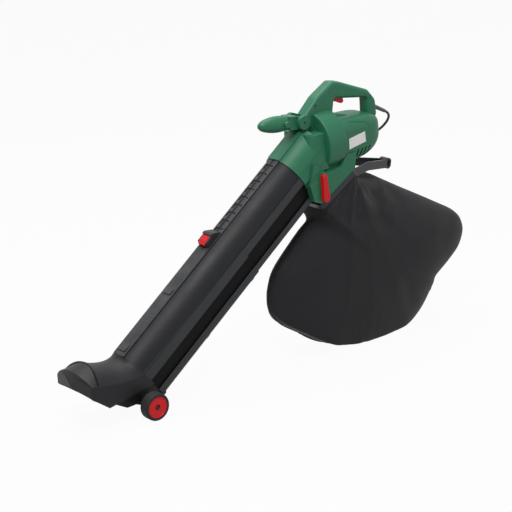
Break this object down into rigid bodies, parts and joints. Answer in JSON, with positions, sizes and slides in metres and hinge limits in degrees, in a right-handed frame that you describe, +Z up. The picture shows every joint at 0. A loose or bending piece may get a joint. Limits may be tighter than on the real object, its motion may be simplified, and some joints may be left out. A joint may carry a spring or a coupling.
{
  "type": "leaf blower",
  "caption": "Corded garden leaf blower and vacuum with a telescopic twin-duct tube on wheels, a fan housing with handles and a fabric collecting bag on a frame.",
  "frame": {"origin": "middle of the machine's length and width on the ground, where the wheels and the bag stand", "axes": "+X from the nozzle back to the bag, +Y to the machine's right, +Z up"},
  "size_m": [1.4413, 0.2415, 0.7873],
  "materials": {
    "green_shell": "satin",
    "dark_tube": "matte",
    "red_control": "gloss",
    "black_plastic": "matte",
    "bag_cloth": "matte",
    "tyre_rubber": "matte",
    "steel": "brushed",
    "laminations": "matte",
    "copper": "satin",
    "carbon": "matte",
    "fan_plastic": "matte",
    "relief_grey": "matte",
    "cord_rubber": "satin"
  },
  "bodies": {
    "housing": {"housing_left": "green_shell", "housing_right": "green_shell", "housing_screws": "steel", "upper_tube": "dark_tube", "motor_stator": "laminations", "motor_plate": "black_plastic", "front_bearing": "steel", "rear_bearing": "steel", "brush_holders": "black_plastic", "carbon_brushes": "carbon", "front_handle_bolt": "steel", "trigger_pin": "steel", "switch_block": "black_plastic", "bag_frame": "black_plastic", "bag": "bag_cloth", "strain_relief": "relief_grey", "power_cord": "cord_rubber", "plug_body": "cord_rubber", "plug_pins": "copper"},
    "lower_tube": {"lower_tube": "dark_tube", "nozzle": "dark_tube", "axle": "steel", "axle_caps": "red_control", "latch_pin": "steel", "latch_spring": "steel"},
    "latch": {"tube_latch": "red_control"},
    "left_wheel": {"wheel_hub_left": "red_control", "tyre_left": "tyre_rubber"},
    "right_wheel": {"wheel_hub_right": "red_control", "tyre_right": "tyre_rubber"},
    "rotor": {"motor_shaft": "steel", "impeller": "fan_plastic", "impeller_nut": "steel", "armature": "laminations", "commutator": "copper"},
    "front_grip": {"front_handle": "green_shell", "lock_spring": "steel"},
    "lock": {"lock_button": "green_shell"},
    "trigger": {"trigger": "red_control"},
    "lever": {"mode_lever": "red_control", "flap_shaft": "black_plastic", "diverter_flap": "black_plastic"}
  },
  "joints": [
    {"name": "tube_slide", "type": "slide", "parent": "housing", "child": "lower_tube", "axis": [0.788, 0, 0.6157], "range_m": [0, 0.232]},
    {"name": "left_wheel_spin", "type": "hinge", "parent": "lower_tube", "child": "left_wheel", "pos_m": [-0.5275, -0.1025, 0.038], "axis": [0, 1, 0], "continuous": true},
    {"name": "right_wheel_spin", "type": "hinge", "parent": "lower_tube", "child": "right_wheel", "pos_m": [-0.5275, 0.1025, 0.038], "axis": [0, 1, 0], "continuous": true},
    {"name": "latch_press", "type": "hinge", "parent": "lower_tube", "child": "latch", "pos_m": [-0.26403, 0, 0.41707], "axis": [0, -1, 0], "range_deg": [0, 6], "stiffness_Nm_per_rad": 0.6, "springref_deg": -5.73},
    {"name": "rotor_spin", "type": "hinge", "parent": "housing", "child": "rotor", "pos_m": [0.124, 0, 0.623], "axis": [0.9976, 0, 0.0698], "continuous": true},
    {"name": "front_grip_swivel", "type": "hinge", "parent": "housing", "child": "front_grip", "pos_m": [0.0785, 0, 0.692], "axis": [0, 1, 0], "range_deg": [0, 45]},
    {"name": "lock_press", "type": "slide", "parent": "front_grip", "child": "lock", "axis": [0, 1, 0], "range_m": [0, 0.003], "stiffness_N_per_m": 600, "springref_m": -0.003},
    {"name": "trigger_pull", "type": "hinge", "parent": "housing", "child": "trigger", "pos_m": [0.2075, 0, 0.744], "axis": [0, -1, 0], "range_deg": [0, 8], "stiffness_Nm_per_rad": 0.8, "springref_deg": -5.73},
    {"name": "lever_turn", "type": "hinge", "parent": "housing", "child": "lever", "pos_m": [0.1055, 0, 0.479], "axis": [0, 1, 0], "range_deg": [0, 60]}
  ]
}
